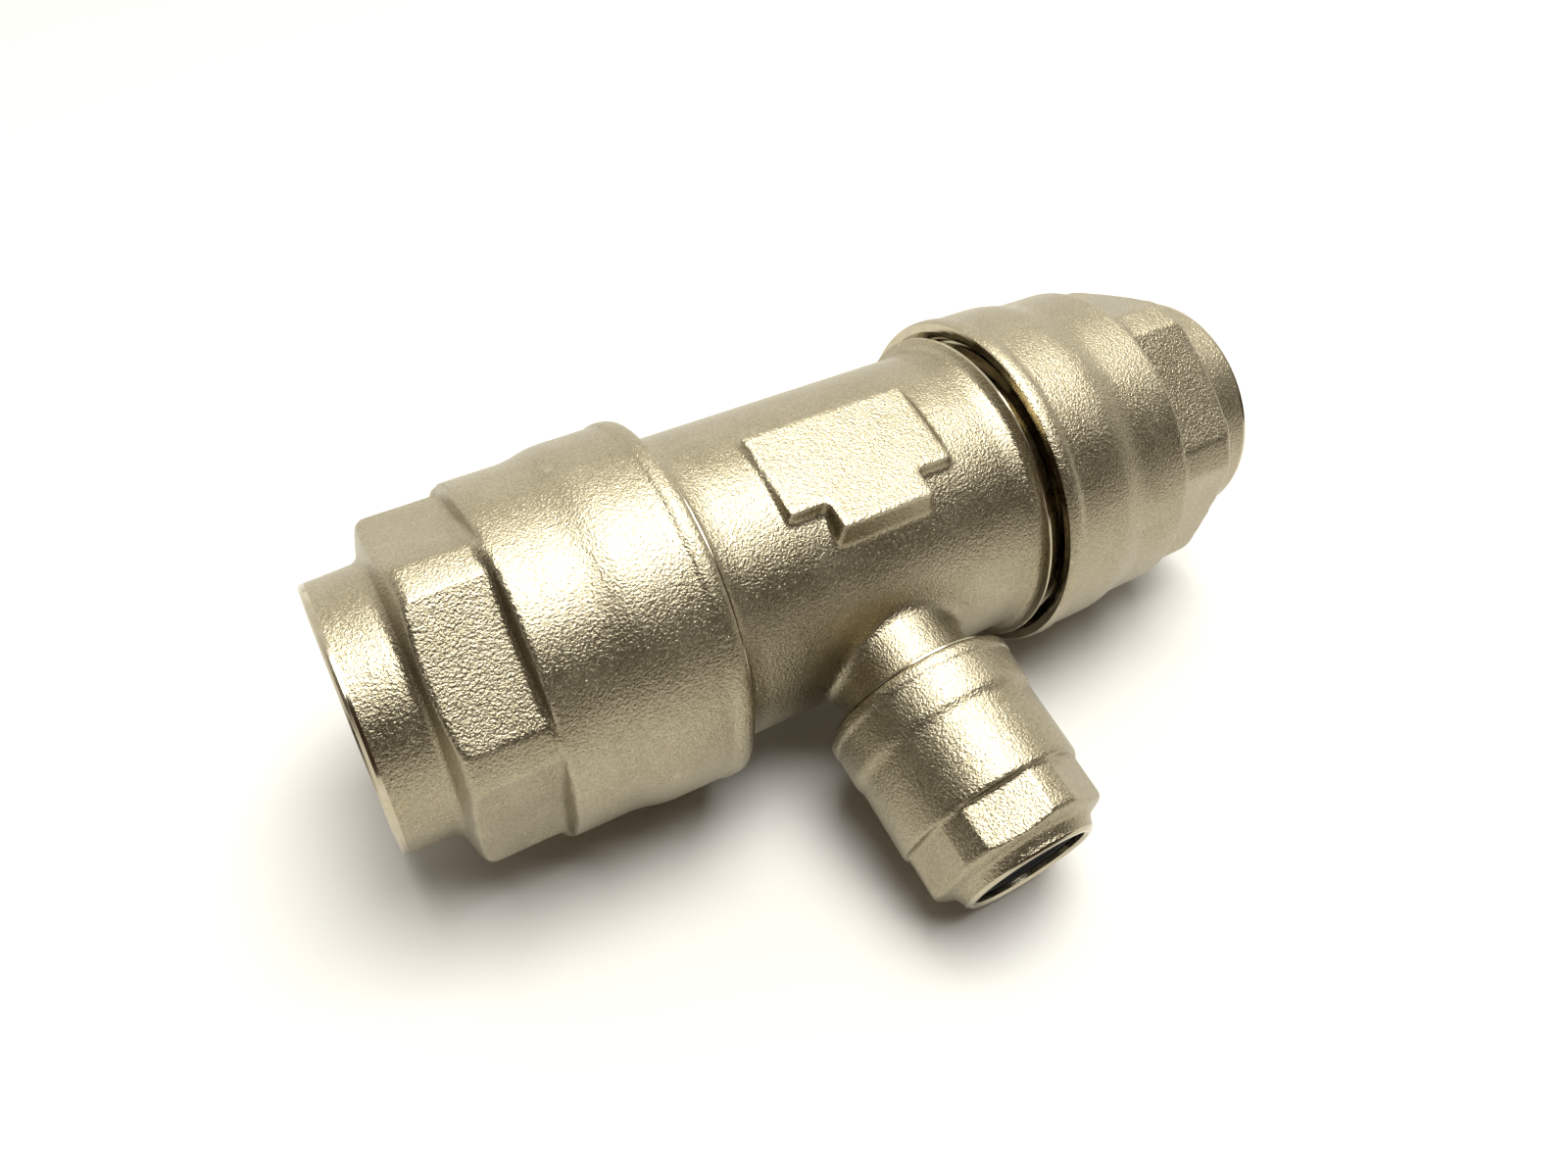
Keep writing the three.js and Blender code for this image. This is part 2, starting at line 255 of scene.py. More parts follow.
def combine(piece, tool, operation):
    """Joins, cuts or crosses a piece with a tool, whose own finish stays on the faces it makes."""
    with_modifier(piece, "BOOLEAN", operation=operation, object=tool, solver="EXACT",
                  material_mode="TRANSFER")
    bpy.data.objects.remove(tool)
    return piece


def joined(pieces):
    """Several closed shells as one object, the first one's name kept."""
    alone(pieces[0])
    for piece in pieces:
        piece.select_set(True)
    bpy.ops.object.join()
    return pieces[0]


def forged(piece, voxel, passes):
    """Fuses the shells of a blank and softens its edges, as a die leaves them."""
    with_modifier(piece, "REMESH", mode="VOXEL", voxel_size=voxel, use_smooth_shade=True)
    with_modifier(piece, "SMOOTH", factor=0.5, iterations=passes)


def soften(piece, chosen, repeats):
    """Smooths only the vertices that the test chooses."""
    alone(piece)
    bpy.ops.object.mode_set(mode="EDIT")
    bpy.ops.mesh.select_mode(type="VERT")
    bpy.ops.mesh.select_all(action="DESELECT")
    bpy.ops.object.mode_set(mode="OBJECT")
    flags = [chosen(vertex.co) for vertex in piece.data.vertices]
    piece.data.vertices.foreach_set("select", flags)
    bpy.ops.object.mode_set(mode="EDIT")
    bpy.ops.mesh.vertices_smooth(factor=0.5, repeat=repeats)
    bpy.ops.object.mode_set(mode="OBJECT")


def swung(piece, turn):
    """Turns a piece about Z and applies the turn."""
    alone(piece)
    piece.rotation_euler = (0, 0, turn)
    bpy.ops.object.transform_apply(location=True, rotation=True, scale=True)
    return piece


def settled(piece, matrix, body, node):
    """Puts a piece in its place, applies that place, shades it and gives it to the frame."""
    alone(piece)
    piece.matrix_world = matrix
    bpy.ops.object.transform_apply(location=True, rotation=True, scale=True)
    bpy.ops.object.shade_smooth_by_angle(angle=SHARP_EDGE)
    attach(piece, body)
    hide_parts(node)
    return piece


# ---------------------------------------------------------------- finishes

class Nodes:
    """A short way to write the nodes of a material or of the world."""

    def __init__(self, tree):
        self.tree = tree

    def add(self, kind, inputs=None, **values):
        node = self.tree.nodes.new(kind)
        for key, value in values.items():
            setattr(node, key, value)
        for key, value in (inputs or {}).items():
            self.feed(node.inputs[key], value)
        return node

    def feed(self, socket, value):
        if isinstance(value, bpy.types.NodeSocket):
            self.tree.links.new(value, socket)
        else:
            socket.default_value = value

    def place(self):
        """Object coordinates turned into the tee's own frame: run along X, branch along -Y."""
        coordinate = self.add("ShaderNodeTexCoord").outputs["Object"]
        mapping = self.add("ShaderNodeMapping", {"Vector": coordinate}, vector_type="TEXTURE")
        mapping.inputs["Location"].default_value = CENTRE
        mapping.inputs["Rotation"].default_value = (DIP, 0.0, 0.0)
        return mapping.outputs["Vector"]

    def noise(self, vector, period, detail=2.0, roughness=0.5):
        node = self.add("ShaderNodeTexNoise", {
            "Vector": vector, "Scale": 1.0 / period, "Detail": detail, "Roughness": roughness})
        return node.outputs["Fac"]

    def maths(self, operation, first, second=0.0):
        return self.add("ShaderNodeMath", {0: first, 1: second}, operation=operation).outputs[0]

    def between(self, value, low, high, to_low=0.0, to_high=1.0):
        node = self.add("ShaderNodeMapRange", {
            "Value": value, "From Min": low, "From Max": high, "To Min": to_low, "To Max": to_high})
        return node.outputs["Result"]

    def mix(self, factor, first, second):
        node = self.add("ShaderNodeMix", data_type="RGBA")
        self.feed(node.inputs["Factor"], factor)
        self.feed(node.inputs["A"], first)
        self.feed(node.inputs["B"], second)
        return node.outputs["Result"]

    def bump(self, height, distance, strength=1.0, normal=None):
        node = self.add("ShaderNodeBump", {"Height": height, "Distance": distance, "Strength": strength})
        if normal is not None:
            self.feed(node.inputs["Normal"], normal)
        return node.outputs["Normal"]


def new_material(name):
    """A material, the writer of its nodes and its shader."""
    material = bpy.data.materials.new(name)
    material.use_nodes = True
    tree = material.node_tree
    return material, Nodes(tree), tree.nodes["Principled BSDF"]


def rgba(value):
    return (*value, 1.0)


SPECK = (0.22, 0.185, 0.12)
# painted shade: the dark colour laid into the concave hollows of the forging
PAINTED_SHADE = (0.20, 0.17, 0.11)
PIT = (0.10, 0.085, 0.06)


def forged_nickel():
    """Shot-blasted forging under nickel plate: pebbled grain, dull patches, pits, rubbed edges and painted
    shade in the hollows.
    """
    material, nodes, shader = new_material("forged_nickel")
    place = nodes.place()
    grain = nodes.noise(place, 0.37 * MM, detail=2.5, roughness=0.55)
    pebble = nodes.add("ShaderNodeTexVoronoi", {"Vector": place, "Scale": 1.0 / (0.54 * MM)},
                       feature="SMOOTH_F1").outputs["Distance"]
    fine = nodes.noise(place, 0.2 * MM, detail=1.0)
    patch = nodes.noise(place, 9 * MM, detail=3.0, roughness=0.6)
    swell = nodes.noise(place, 5 * MM, detail=1.0)
    pits = nodes.between(nodes.noise(place, 0.8 * MM, detail=2.0, roughness=0.7), 0.70, 0.76)
    edge = nodes.add("ShaderNodeNewGeometry").outputs["Pointiness"]
    rubbed = nodes.between(edge, 0.515, 0.56)
    # concave places, where painted shade darkens the colour
    hollow_shade_mask = nodes.between(edge, 0.485, 0.44)
    mottle = nodes.noise(place, 0.34 * MM, detail=2.0, roughness=0.6)
    tone = nodes.between(nodes.maths("ADD", nodes.maths("MULTIPLY", patch, 0.35), mottle), 0.48, 0.86)
    plate = nodes.mix(tone, rgba(settings().nickel_shade), rgba(settings().nickel))
    specks = nodes.between(nodes.noise(place, 0.3 * MM, detail=1.0), 0.60, 0.72)
    plate = nodes.mix(nodes.maths("MULTIPLY", specks, 0.6), plate, rgba(SPECK))
    plate = nodes.mix(nodes.maths("MULTIPLY", rubbed, 0.5), plate, rgba(settings().bright))
    # painted shade in the hollows
    plate = nodes.mix(nodes.maths("MULTIPLY", hollow_shade_mask, 0.45), plate, rgba(PAINTED_SHADE))
    plate = nodes.mix(nodes.maths("MULTIPLY", pits, 0.7), plate, rgba(PIT))
    nodes.feed(shader.inputs["Base Color"], plate)
    shader.inputs["Metallic"].default_value = 1.0
    rough = nodes.between(nodes.maths("ADD", nodes.maths("MULTIPLY", patch, 0.6), grain),
                          0.5, 1.1, 0.26, 0.36)
    nodes.feed(shader.inputs["Roughness"], rough)
    waves = nodes.bump(swell, 0.05 * MM, 0.6)
    pebbles = nodes.bump(pebble, 0.06 * MM, 1.0, waves)
    grained = nodes.bump(grain, 0.14 * MM, 1.0, pebbles)
    nodes.feed(shader.inputs["Normal"], nodes.bump(fine, 0.02 * MM, 1.0, grained))
    return material


def turned_nickel(name, axis):
    """Plate on turned faces, with the fine rings that the tool leaves round one axis."""
    material, nodes, shader = new_material(name)
    place = nodes.place()
    parts = nodes.add("ShaderNodeSeparateXYZ", {"Vector": place}).outputs
    along, across = (parts["X"], parts["Y"]) if axis == "X" else (parts["Y"], parts["X"])
    squared = nodes.maths("ADD", nodes.maths("MULTIPLY", across, across),
                          nodes.maths("MULTIPLY", parts["Z"], parts["Z"]))
    radius = nodes.maths("SQRT", squared)
    feed = nodes.maths("ADD", along, nodes.maths("MULTIPLY", radius, 0.618))
    track = nodes.add("ShaderNodeCombineXYZ", {
        "X": feed, "Y": nodes.maths("MULTIPLY", across, 0.02),
        "Z": nodes.maths("MULTIPLY", parts["Z"], 0.02)}).outputs["Vector"]
    rings = nodes.noise(track, 0.16 * MM, detail=2.0, roughness=0.6)
    smear = nodes.noise(place, 2.6 * MM, detail=3.0)
    plate = nodes.mix(nodes.between(smear, 0.35, 0.7), rgba(settings().nickel), rgba(settings().bright))
    nodes.feed(shader.inputs["Base Color"], plate)
    shader.inputs["Metallic"].default_value = 1.0
    nodes.feed(shader.inputs["Roughness"], nodes.between(smear, 0.3, 0.7, 0.10, 0.22))
    nodes.feed(shader.inputs["Normal"], nodes.bump(rings, 0.02 * MM, 0.8))
    return material


def stamped_steel():
    """Stainless strip: rolled streaks and small scratches."""
    material, nodes, shader = new_material("stamped_steel")
    place = nodes.place()
    streaked = nodes.add("ShaderNodeMapping", {"Vector": place}).outputs["Vector"]
    streaked.node.inputs["Scale"].default_value = (1.0, 1.0, 0.06)
    streaks = nodes.noise(streaked, 0.12 * MM, detail=2.0)
    cloud = nodes.noise(place, 3 * MM, detail=2.0)
    nodes.feed(shader.inputs["Base Color"], nodes.mix(cloud, rgba(settings().steel), (0.42, 0.42, 0.43, 1.0)))
    shader.inputs["Metallic"].default_value = 1.0
    nodes.feed(shader.inputs["Roughness"], nodes.between(streaks, 0.3, 0.7, 0.18, 0.36))
    nodes.feed(shader.inputs["Normal"], nodes.bump(streaks, 0.02 * MM, 0.7))
    return material


def moulded(name, shade, rough, period):
    """A matt moulded surface: fine skin, faint flow marks and dust in its colour."""
    material, nodes, shader = new_material(name)
    place = nodes.place()
    skin = nodes.noise(place, period, detail=2.0)
    flow = nodes.noise(place, 14 * period, detail=3.0)
    lighter = tuple(min(1.0, 2.2 * channel + 0.01) for channel in shade)
    nodes.feed(shader.inputs["Base Color"],
               nodes.mix(nodes.between(flow, 0.45, 0.75), rgba(shade), rgba(lighter)))
    shader.inputs["Specular IOR Level"].default_value = 0.3
    nodes.feed(shader.inputs["Roughness"], nodes.between(flow, 0.3, 0.7, rough, rough + 0.14))
    nodes.feed(shader.inputs["Normal"], nodes.bump(skin, 0.04 * MM, 0.6))
    return material


def finish(name):
    """A finish by name, made the first time that it is asked for."""
    if name not in bpy.data.materials:
        {
            "forged_nickel": forged_nickel,
            "turned_run": lambda: turned_nickel("turned_run", "X"),
            "turned_branch": lambda: turned_nickel("turned_branch", "Y"),
            "stamped_steel": stamped_steel,
            "acetal": lambda: moulded("acetal", tuple(settings().plastic), 0.46, 0.25 * MM),
            "rubber": lambda: moulded("rubber", tuple(settings().rubber), 0.48, 0.12 * MM),
        }[name]()
    return bpy.data.materials[name]


def turned_finish(port):
    return finish("turned_branch" if port == "branch" else "turned_run")


# ---------------------------------------------------------------- threads

STEPS_PER_TURN = 96


def helix(name, start, root, crest, pitch, turns, material):
    """A closed trapezoid ridge wound round X, from start towards +X."""
    section = ((0.10, root), (0.36, crest), (0.52, crest), (0.78, root))
    ridge = outlined(name, [(start + share * pitch, 0, radius) for share, radius in section])
    bpy.ops.mesh.select_all(action="SELECT")
    bpy.ops.object.mode_set(mode="OBJECT")
    steps = int(STEPS_PER_TURN * turns)
    with_modifier(ridge, "SCREW", axis="X", screw_offset=pitch * turns, angle=TAU * turns,
                  steps=steps, render_steps=steps, use_merge_vertices=False)
    bpy.ops.object.mode_set(mode="EDIT")
    bpy.ops.mesh.select_all(action="SELECT")
    bpy.ops.mesh.fill_holes(sides=0)
    bpy.ops.mesh.select_all(action="SELECT")
    bpy.ops.mesh.normals_make_consistent(inside=False)
    bpy.ops.object.mode_set(mode="OBJECT")
    ridge.data.materials.append(material)
    return ridge


# ---------------------------------------------------------------- nuts

# how far along the widening of the skirt, and how much of it is done there
SWELL_CURVE = ((0, 0.03), (0.2, 0.1), (0.4, 0.35), (0.6, 0.7), (0.8, 0.93), (1, 1))


def nut_blank_outline(sizes, rim, nut_length):
    """The forged outside of a nut, a little long at both ends, closed on the axis."""
    at = lambda depth: rim - depth
    neck_root = sizes.neck_radius + sizes.neck_flare
    shoulder = sizes.neck_length + sizes.shoulder_rise
    round_ = sizes.edge_round
    ease = 0.25 * round_
    bead = 0.45 * round_
    end = nut_length + 0.4 * MM
    return [
        (at(-1.0 * MM), 0.0),
        (at(-1.0 * MM), sizes.neck_radius),
        (at(0.35 * sizes.neck_length), sizes.neck_radius + 0.3 * sizes.neck_flare),
        (at(sizes.neck_length - ease), neck_root),
        (at(sizes.neck_length + 0.4 * ease), neck_root + 1.2 * ease),
        *arc((at(shoulder + 0.75 * round_), sizes.corner_radius - round_), round_, 12, 90, 6),
        (at(sizes.hexagon_end), sizes.corner_radius + 0.05 * round_),
        (at(sizes.hexagon_end + 0.2 * MM), 0.3 * sizes.corner_radius + 0.7 * sizes.waist_radius),
        (at(0.5 * (sizes.hexagon_end + sizes.waist_start)), sizes.waist_radius - 0.03 * MM),
        (at(sizes.waist_start), sizes.waist_radius),
        *[(at(sizes.swell_start + share * (sizes.swell_end - sizes.swell_start)),
           sizes.waist_radius + rise * (sizes.swell_radius - sizes.waist_radius))
          for share, rise in SWELL_CURVE],
        (at(sizes.bead_start), sizes.swell_radius + 0.04 * MM),
        (at(sizes.bead_start + 0.3 * MM), sizes.bead_radius),
        (at(nut_length - 0.9 * bead), sizes.bead_radius),
        (at(nut_length - 0.3 * bead), sizes.bead_radius - 0.25 * bead),
        (at(end), sizes.bead_radius - 0.75 * bead),
        (at(end), 0.0),
    ]


def hexagon_waste(sizes, rim, turn):
    """What is taken off a nut blank to leave its hexagon: a wide ring less a six-sided core."""
    reach = 1.6 * sizes.corner_radius
    flat = 0.5 * sizes.across_flats
    slope_start = rim - sizes.hexagon_end - 0.1 * MM
    slant = 0.2
    waste = turned("waste", [
        (rim + 3 * MM, 0.0), (rim + 3 * MM, reach),
        (slope_start - slant * (reach - flat), reach), (slope_start + slant * 2 * MM, flat - 2 * MM),
        (slope_start + slant * 2 * MM, 0.0)], finish("forged_nickel"))
    depth = 60 * MM
    bpy.ops.mesh.primitive_cylinder_add(vertices=6, radius=flat / math.cos(math.pi / 6), depth=depth,
                                        location=(rim, 0, 0), rotation=(0, math.pi / 2, 0))
    core = bpy.context.object
    core.data.materials.append(finish("forged_nickel"))
    alone(core)
    bpy.ops.transform.rotate(value=-turn, orient_axis="X", center_override=(rim, 0, 0))
    bpy.ops.object.transform_apply(location=True, rotation=True, scale=True)
    return combine(waste, core, "DIFFERENCE")


def nut_machining(sizes, rim, nut_length, material):
    """The ring of metal that the lathe leaves: bore, seats, thread and end faces, wide outside."""
    at = lambda depth: rim - depth
    bore = sizes.tube / 2 + BORE_PLAY
    thread = sizes.thread + THREAD_PLAY
    mouth = sizes.collar + 0.5 * MM
    land = 0.045 * sizes.neck_radius
    chamfer = 0.45 * MM
    depth = sizes.spigot - 0.5 * MM
    relief = 0.9 * sizes.thread_depth
    scribe = 0.28 * MM
    return turned("machining", [
        (at(0), bore + chamfer),
        (at(0), sizes.neck_radius - chamfer),
        (at(chamfer), sizes.neck_radius + 0.02 * MM),
        (at(land), sizes.neck_radius + 0.05 * MM),
        (at(land), BIG),
        (at(sizes.bead_start - scribe), BIG),
        (at(sizes.bead_start - 0.5 * scribe), sizes.swell_radius - 0.6 * scribe),
        (at(sizes.bead_start), BIG),
        (at(nut_length), BIG),
        (at(nut_length), mouth),
        (at(nut_length - (mouth - thread)), thread),
        (at(depth + 3.2 * relief), thread),
        (at(depth + 2.4 * relief), thread + relief),
        (at(depth + 0.3 * MM), thread + relief),
        (at(depth), thread + relief - 0.3 * MM),
        (at(depth), sizes.cavity + chamfer),
        (at(depth - chamfer), sizes.cavity),
        (at(sizes.shoulder), sizes.cavity),
        (at(sizes.shoulder), sizes.bush_seat + 0.5 * chamfer),
        (at(sizes.shoulder - 0.5 * chamfer), sizes.bush_seat),
        (at(sizes.lip), sizes.bush_seat),
        (at(sizes.lip), bore),
        (at(chamfer), bore),
    ], material)


THREADED_SHARE = 0.26  # of a nut's length


def make_nut(port, turn):
    """One nut: a forged blank with its hexagon, then turned inside and at both ends."""
    sizes = sizes_of(port)
    inner_end, rim, _, _ = measured(f"{port}_nut", port)
    nut_length = rim - inner_end
    nut = turned(f"{port}_hexagon_nut", nut_blank_outline(sizes, rim, nut_length), finish("forged_nickel"))
    combine(nut, hexagon_waste(sizes, rim, turn), "DIFFERENCE")
    forged(nut, sizes.voxel, settings().softening)
    metal = turned_finish(port)
    machining = nut_machining(sizes, rim, nut_length, metal)
    turns = round(THREADED_SHARE * nut_length / sizes.pitch) + 0.5
    thread = sizes.thread + THREAD_PLAY
    female = helix("female", inner_end - 0.5 * sizes.pitch, thread - 0.4 * MM, thread + sizes.thread_depth,
                   sizes.pitch, turns, metal)
    combine(machining, female, "DIFFERENCE")
    combine(nut, machining, "INTERSECT")
    return settled(nut, port_matrix(port), f"{port}_nut", f"{port}_nut")


# ---------------------------------------------------------------- body

def collar_faces(sizes, rim, nut_length):
    """Inner and outer face of the turned collar, along the port."""
    outer = rim - nut_length - SEATING
    return outer - sizes.collar_width, outer


BOSS_PASSES = 45  # smoothing passes where the boss leaves the run


def spigot_blank_outline(sizes, rim, nut_length):
    """Forged outside along one port, from the fillet to past the front face."""
    collar_in, _ = collar_faces(sizes, rim, nut_length)
    stock = sizes.collar + 0.6 * MM
    return [
        (collar_in - sizes.fillet, sizes.body_radius),
        (collar_in - 0.35 * sizes.fillet, sizes.body_radius + 0.45 * sizes.fillet_rise),
        (collar_in - 0.08 * sizes.fillet, sizes.body_radius + sizes.fillet_rise),
        (collar_in + 0.1 * MM, stock),
        (rim - sizes.spigot + MM, stock),
    ]


def mirrored(outline):
    return [(-x, radius) for x, radius in reversed(outline)]


def spigot_machining(sizes, rim, nut_length):
    """Turned outside of one spigot, from the wide region over the forging to the front face."""
    collar_in, collar_out = collar_faces(sizes, rim, nut_length)
    mouth = rim - sizes.spigot
    root = sizes.thread - sizes.thread_depth
    relief = root - 0.15 * MM
    groove_in, groove_out = rim - sizes.groove_end, rim - sizes.groove_start
    edge = 0.08 * MM
    return [
        (collar_in - 0.55 * MM, sizes.body_radius + sizes.fillet_rise + 0.05 * MM),
        (collar_in, sizes.collar - edge),
        (collar_in + edge, sizes.collar),
        (collar_out - edge, sizes.collar),
        (collar_out, sizes.collar - edge),
        (collar_out, relief),
        (collar_out + 1.3 * MM, relief),
        (collar_out + 1.6 * MM, root),
        (groove_in - 1.2 * MM, root),
        (groove_in - 0.9 * MM, sizes.thread),
        (groove_in, sizes.thread),
        (groove_in, sizes.groove_floor),
        (groove_out, sizes.groove_floor),
        (groove_out, sizes.thread),
        (mouth - 0.8 * MM, sizes.thread),
        (mouth, sizes.thread - 0.6 * MM),
    ]


def bore_outline(sizes, rim):
    """Inside of one port, from past the mouth to the flow passage."""
    mouth = rim - sizes.spigot
    seal = mouth - sizes.counterbore
    stop = rim - sizes.tube_stop
    socket = sizes.tube / 2 + SOCKET_PLAY
    seat = sizes.cavity - 0.1 * MM
    lead = 0.3 * MM
    return [
        (stop, sizes.flow),
        (stop, socket),
        (seal - lead, socket),
        (seal, socket + lead),
        (seal, seat),
        (mouth - lead, seat),
        (mouth + MM, seat + lead + MM),
    ]


def to_axis(outline):
    return [(outline[0][0], 0.0), *outline, (outline[-1][0], 0.0)]


def pad_block(half, back, front):
    """One drafted block of the raised pad, its upright corners rounded."""
    pad = settings().pad
    height = pad.top - pad.root
    bpy.ops.object.select_all(action="DESELECT")
    bpy.ops.mesh.primitive_cube_add(size=1.0, location=(0, (back + front) / 2, pad.root + height / 2),
                                    scale=(2 * half, back - front, height))
    block = bpy.context.object
    block.data.materials.append(finish("forged_nickel"))
    bpy.ops.object.transform_apply(location=True, rotation=True, scale=True)
    bpy.ops.object.mode_set(mode="EDIT")
    bpy.ops.mesh.select_all(action="DESELECT")
    bpy.ops.mesh.select_mode(type="FACE")
    bpy.ops.object.mode_set(mode="OBJECT")
    for face in block.data.polygons:
        face.select = face.normal.z < -0.5
    bpy.ops.object.mode_set(mode="EDIT")
    bpy.ops.transform.resize(value=(1 + pad.draft / half, 1 + 2 * pad.draft / (back - front), 1))
    bpy.ops.mesh.select_all(action="DESELECT")
    bpy.ops.mesh.select_mode(type="EDGE")
    bpy.ops.object.mode_set(mode="OBJECT")
    for edge in block.data.edges:
        low, high = (block.data.vertices[i].co.z for i in edge.vertices)
        edge.select = abs(high - low) > 0.5 * height
    bpy.ops.object.mode_set(mode="EDIT")
    bpy.ops.mesh.bevel(offset=pad.corner, segments=4, affect="EDGES")
    bpy.ops.object.mode_set(mode="OBJECT")
    return block


def branch_turned(name, outline, material):
    """A solid turned about the branch's axis, in the tee's own frame."""
    return swung(turned(name, outline, material), FACING["branch"])


def body_blank(run, branch, run_rim, run_length, branch_rim, branch_length):
    """The forging before machining: run, branch boss and raised pad, fused and softened."""
    metal = finish("forged_nickel")
    pad = settings().pad
    run_side = spigot_blank_outline(run, run_rim, run_length)
    blank = turned("tee_forging", to_axis([*mirrored(run_side), *run_side]), metal)
    boss_start, overlap = 8 * MM, 4 * MM  # inside the run, and inside the bar of the pad
    boss_side = [(boss_start, branch.body_radius), *spigot_blank_outline(branch, branch_rim, branch_length)]
    boss = branch_turned("boss", to_axis(boss_side), metal)
    bar = pad_block(pad.bar_half, pad.back, pad.front)
    stem = pad_block(pad.stem_half, pad.front + overlap, pad.stem_front)
    joined([blank, boss, bar, stem])
    forged(blank, run.voxel, settings().softening)

    branch_rise, branch_reach = 0.6 * MM, 2.3 * MM
    run_rise, run_reach = 0.4 * MM, 2.2 * MM

    def by_the_boss(place):
        from_branch = math.hypot(place.x, place.z)
        from_run = math.hypot(place.y, place.z)
        return (place.y < 0 and abs(from_branch - branch.body_radius - branch_rise) < branch_reach
                and abs(from_run - run.body_radius - run_rise) < run_reach)

    soften(blank, by_the_boss, BOSS_PASSES)
    return blank


def male_thread(sizes, rim, nut_length, metal):
    """The ridge of a spigot's thread, from the collar to the seal groove."""
    runout = 0.9 * MM
    start = rim - nut_length + runout
    turns = (rim - sizes.groove_end - runout - start) / sizes.pitch - 0.8
    root = sizes.thread - sizes.thread_depth
    return helix("male", start, root - 0.3 * MM, sizes.thread, sizes.pitch, turns, metal)


def make_body():
    """The tee's body: a forged blank, crossed with its turned outside, then bored."""
    run, branch = settings().run, settings().branch
    run_inner, run_rim, _, _ = measured("left_nut", "left")
    branch_inner, branch_rim, _, _ = measured("branch_nut", "branch")
    run_length, branch_length = run_rim - run_inner, branch_rim - branch_inner
    body = body_blank(run, branch, run_rim, run_length, branch_rim, branch_length)

    metal = finish("turned_run")
    side = spigot_machining(run, run_rim, run_length)
    start = side[0][0]
    lathe = turned("lathe", to_axis([*mirrored(side), (-start, WIDE), (start, WIDE), *side]), metal)
    combine(lathe, male_thread(run, run_rim, run_length, metal), "UNION")
    combine(lathe, swung(male_thread(run, run_rim, run_length, metal), math.pi), "UNION")
    combine(body, lathe, "INTERSECT")

    metal = finish("turned_branch")
    side = spigot_machining(branch, branch_rim, branch_length)
    lathe = turned("lathe", to_axis([(-BIG, WIDE), (side[0][0], WIDE), *side]), metal)
    combine(lathe, male_thread(branch, branch_rim, branch_length, metal), "UNION")
    combine(body, swung(lathe, FACING["branch"]), "INTERSECT")

    bore = bore_outline(run, run_rim)
    combine(body, turned("bore", to_axis([*mirrored(bore), *bore]), finish("turned_run")), "DIFFERENCE")
    bore = [(0.0, branch.flow), *bore_outline(branch, branch_rim)]
    combine(body, branch_turned("bore", to_axis(bore), metal), "DIFFERENCE")
    body.name = "tee_forging"
    return settled(body, TEE_TO_WORLD, "tee", "tee_body")


# ---------------------------------------------------------------- cartridge rings

def ring_outline(near, far, inner, outer, edge):
    """A ring's section with every corner eased."""
    return [
        (near + edge, inner), (far - edge, inner), (far, inner + edge), (far, outer - edge),
        (far - edge, outer), (near + edge, outer), (near, outer - edge), (near, inner + edge),
    ]


def make_guide_bush(port):
    """A moulded bush with a flared mouth and three wiping ribs inside."""
    near, far, inner, outer = measured(f"{port}_guide_bush", port)
    wall = outer - inner
    rib = 0.2 * wall
    flare = 0.4 * wall
    line = [(near + 0.3 * wall, inner + rib)]
    for share in (0.25, 0.5, 0.75):
        place = near + share * (far - near)
        line += [(place - 2 * rib, inner + rib), (place - rib, inner), (place + rib, inner),
                 (place + 2 * rib, inner + rib)]
    line += [(far - flare, inner + rib), (far, inner + rib + flare), (far, outer - rib), (far - rib, outer),
             (near + rib, outer), (near, outer - rib), (near, inner + 2 * rib)]
    bush = turned(f"{port}_bush", line, finish("acetal"))
    return settled(bush, port_matrix(port), f"{port}_cartridge", f"{port}_guide_bush")


def make_backing_washer(port):
    near, far, inner, outer = measured(f"{port}_backing_washer", port)
    edge = 0.22 * (far - near)
    washer = turned(f"{port}_washer", ring_outline(near, far, inner, outer, edge), finish("stamped_steel"))
    return settled(washer, port_matrix(port), f"{port}_cartridge", f"{port}_backing_washer")


def make_grip_ring(port, teeth):
    """A flat band with a cone of teeth that lean inwards, each gap cut through to the band."""
    near, far, tip, outer = measured(f"{port}_grip_ring", port)
    tip += 0.05 * MM
    sheet = 0.16 * (far - near)
    root = outer - 0.35 * (outer - tip)
    ring = turned(f"{port}_teeth", [
        (far - 0.2 * sheet, outer), (far - 1.8 * sheet, outer), (far - 2 * sheet, outer - 0.2 * sheet),
        (far - 2 * sheet, root), (near, tip + 0.6 * sheet), (near, tip),
        (far - sheet, root - sheet), (far, root - 0.8 * sheet), (far, outer - 0.2 * sheet)],
        finish("stamped_steel"))
    depth = 0.78 * (root - tip)
    gap_share = 0.18
    gap = gap_share * TAU * tip / teeth
    bpy.ops.object.select_all(action="DESELECT")
    bpy.ops.mesh.primitive_cube_add(size=1.0, location=(near, 0, tip + 0.28 * (root - tip)),
                                    scale=(2 * (far - near), gap, depth))
    cutter = bpy.context.object
    bpy.ops.object.transform_apply(location=True, rotation=True, scale=True)
    cutter.data.materials.append(finish("stamped_steel"))
    cutters = [cutter]
    for index in range(1, teeth):
        alone(cutter)
        bpy.ops.object.duplicate()
        copy = bpy.context.object
        bpy.ops.transform.rotate(value=index * TAU / teeth, orient_axis="X", center_override=(0, 0, 0))
        bpy.ops.object.transform_apply(location=True, rotation=True, scale=True)
        cutters.append(copy)
    combine(ring, joined(cutters), "DIFFERENCE")
    return settled(ring, port_matrix(port), f"{port}_cartridge", f"{port}_grip_ring")


